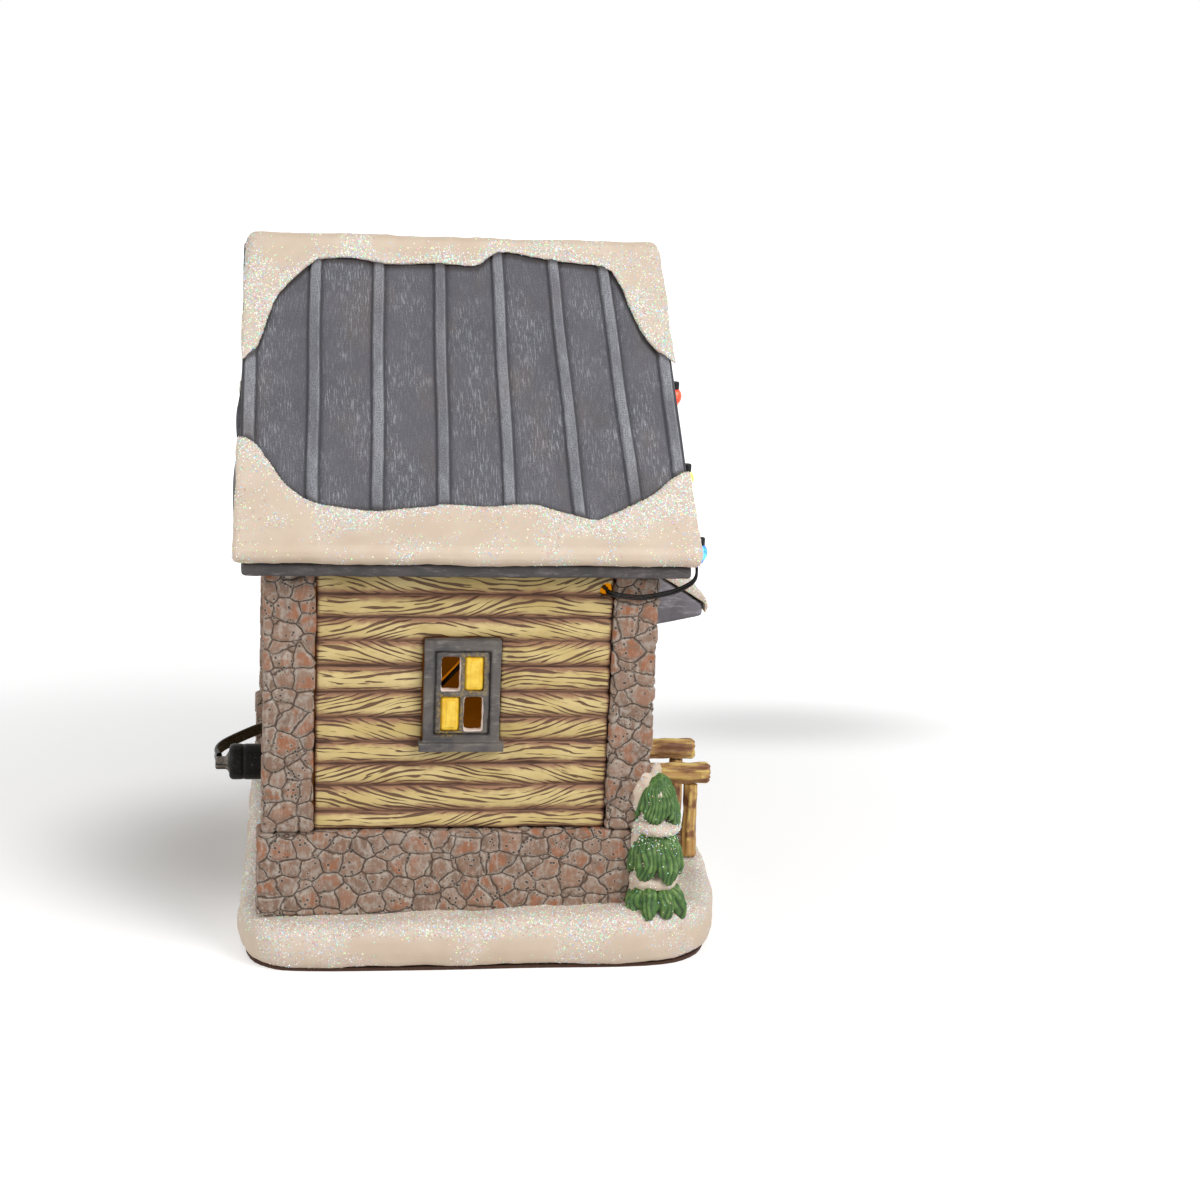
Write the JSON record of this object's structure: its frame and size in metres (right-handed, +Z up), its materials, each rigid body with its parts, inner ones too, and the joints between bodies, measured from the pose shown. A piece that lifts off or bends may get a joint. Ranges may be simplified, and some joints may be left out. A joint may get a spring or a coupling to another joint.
{
  "type": "lit village lodge",
  "caption": "Hollow ceramic log lodge with stone corners and a snow-covered seamed roof, lit from inside and by a string of lamps, with a plug-in power lead.",
  "frame": {"origin": "the middle of the footprint, on the surface that the base stands on", "axes": "+Z up; the ridge runs along Y; the porch faces -Y and the plug leaves the back wall along +Y"},
  "size_m": [0.235, 0.1549, 0.2015],
  "materials": {
    "amber_pane": "translucent amber film",
    "black_plastic": "black moulded plastic",
    "brown_felt": "felt pad",
    "dark_trim_paint": "matt dark grey paint",
    "door_paint": "painted planks",
    "glazed_snow": "glazed off-white with glitter",
    "lamp_blue": "lit blue lamp",
    "lamp_green": "lit green lamp",
    "lamp_red": "lit red lamp",
    "lamp_yellow": "lit yellow lamp",
    "log_paint": "painted carved logs",
    "nickel": "nickel plated",
    "pine_paint": "painted green boughs",
    "rail_paint": "painted brown logs",
    "slate_grey_paint": "matt charcoal paint, dry-brushed",
    "stone_paint": "painted carved stones",
    "white_plastic": "white plastic"
  },
  "bodies": {
    "lodge": {"barge_board_back": "dark_trim_paint", "barge_board_front": "dark_trim_paint", "base_felt": "brown_felt", "bulb_1": "lamp_blue", "bulb_2": "lamp_yellow", "bulb_3": "lamp_red", "bulb_4": "lamp_green", "bulb_5": "lamp_blue", "bulb_6": "lamp_yellow", "bulb_7": "lamp_red", "bulb_8": "lamp_green", "corner_back_left": "stone_paint", "corner_back_right": "stone_paint", "corner_front_left": "stone_paint", "corner_front_right": "stone_paint", "dc_jack": "black_plastic", "door": "door_paint", "door_frame": "dark_trim_paint", "eave_left": "dark_trim_paint", "eave_right": "dark_trim_paint", "eave_snow_left": "glazed_snow", "eave_snow_right": "glazed_snow", "foundation_back": "stone_paint", "foundation_front": "stone_paint", "foundation_left": "stone_paint", "foundation_right": "stone_paint", "gable_wall_back": "log_paint", "gable_wall_front": "log_paint", "lamp": "amber_pane", "lamp_holder": "white_plastic", "light_wire": "black_plastic", "log_wall_left": "log_paint", "log_wall_right": "log_paint", "pine_tree": "pine_paint", "porch_roof": "slate_grey_paint", "porch_snow": "glazed_snow", "porch_steps": "stone_paint", "rail_left": "rail_paint", "rail_post_left": "rail_paint", "rail_post_right": "rail_paint", "rail_right": "rail_paint", "ridge_snow": "glazed_snow", "roof_left": "slate_grey_paint", "roof_right": "slate_grey_paint", "snow_base": "glazed_snow", "window_film_front": "amber_pane", "window_film_left": "amber_pane", "window_film_right": "amber_pane", "window_front": "dark_trim_paint", "window_left": "dark_trim_paint", "window_right": "dark_trim_paint"},
    "lead": {"adaptor": "black_plastic", "adaptor_blade_1": "nickel", "adaptor_blade_2": "nickel", "adaptor_relief": "black_plastic", "coil_tie": "black_plastic", "dc_plug": "black_plastic", "plug_pin": "nickel", "power_lead": "black_plastic", "power_lead_coil": "black_plastic"}
  },
  "joints": [
    {"name": "plug_slide", "type": "slide", "parent": "lodge", "child": "lead", "axis": [0, 1, 0], "range_m": [0, 0.014]}
  ]
}
